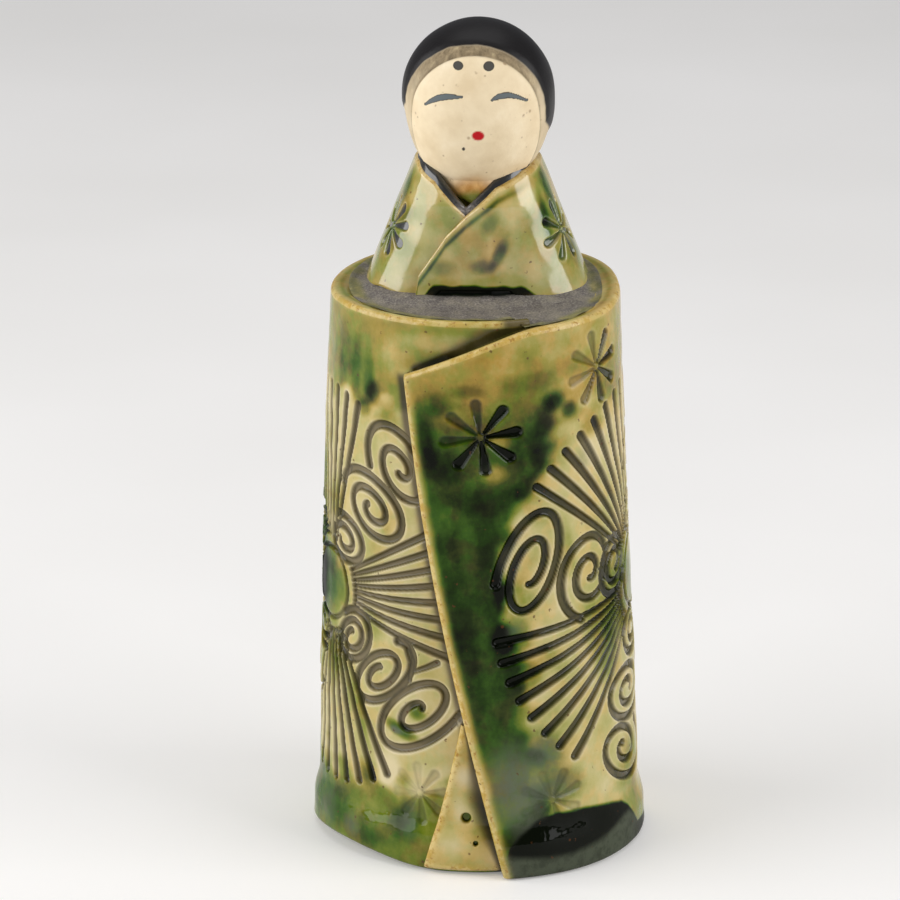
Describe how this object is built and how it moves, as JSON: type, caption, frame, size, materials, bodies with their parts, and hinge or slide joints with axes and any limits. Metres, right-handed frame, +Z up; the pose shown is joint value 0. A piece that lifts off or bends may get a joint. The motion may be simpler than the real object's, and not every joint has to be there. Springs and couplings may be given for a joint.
{
  "type": "ceramic hina doll",
  "caption": "Slab-built glazed ceramic doll: a hollow wrapped robe with stamped spirals and fans, a small torso with crossed collar, and a ball head.",
  "frame": {"origin": "on the ground, at the middle of the foot ring", "axes": "+Z up through the head, -Y the way the face looks, +X to the viewer's right"},
  "size_m": [0.049, 0.0496, 0.1215],
  "materials": {
    "glazed_body": "glossy transparent green glaze over cream clay, pooling dark in the stamped lines; bare matte face and satin black hair"
  },
  "bodies": {
    "root": {"hina_doll": "glazed_body"}
  },
  "joints": []
}
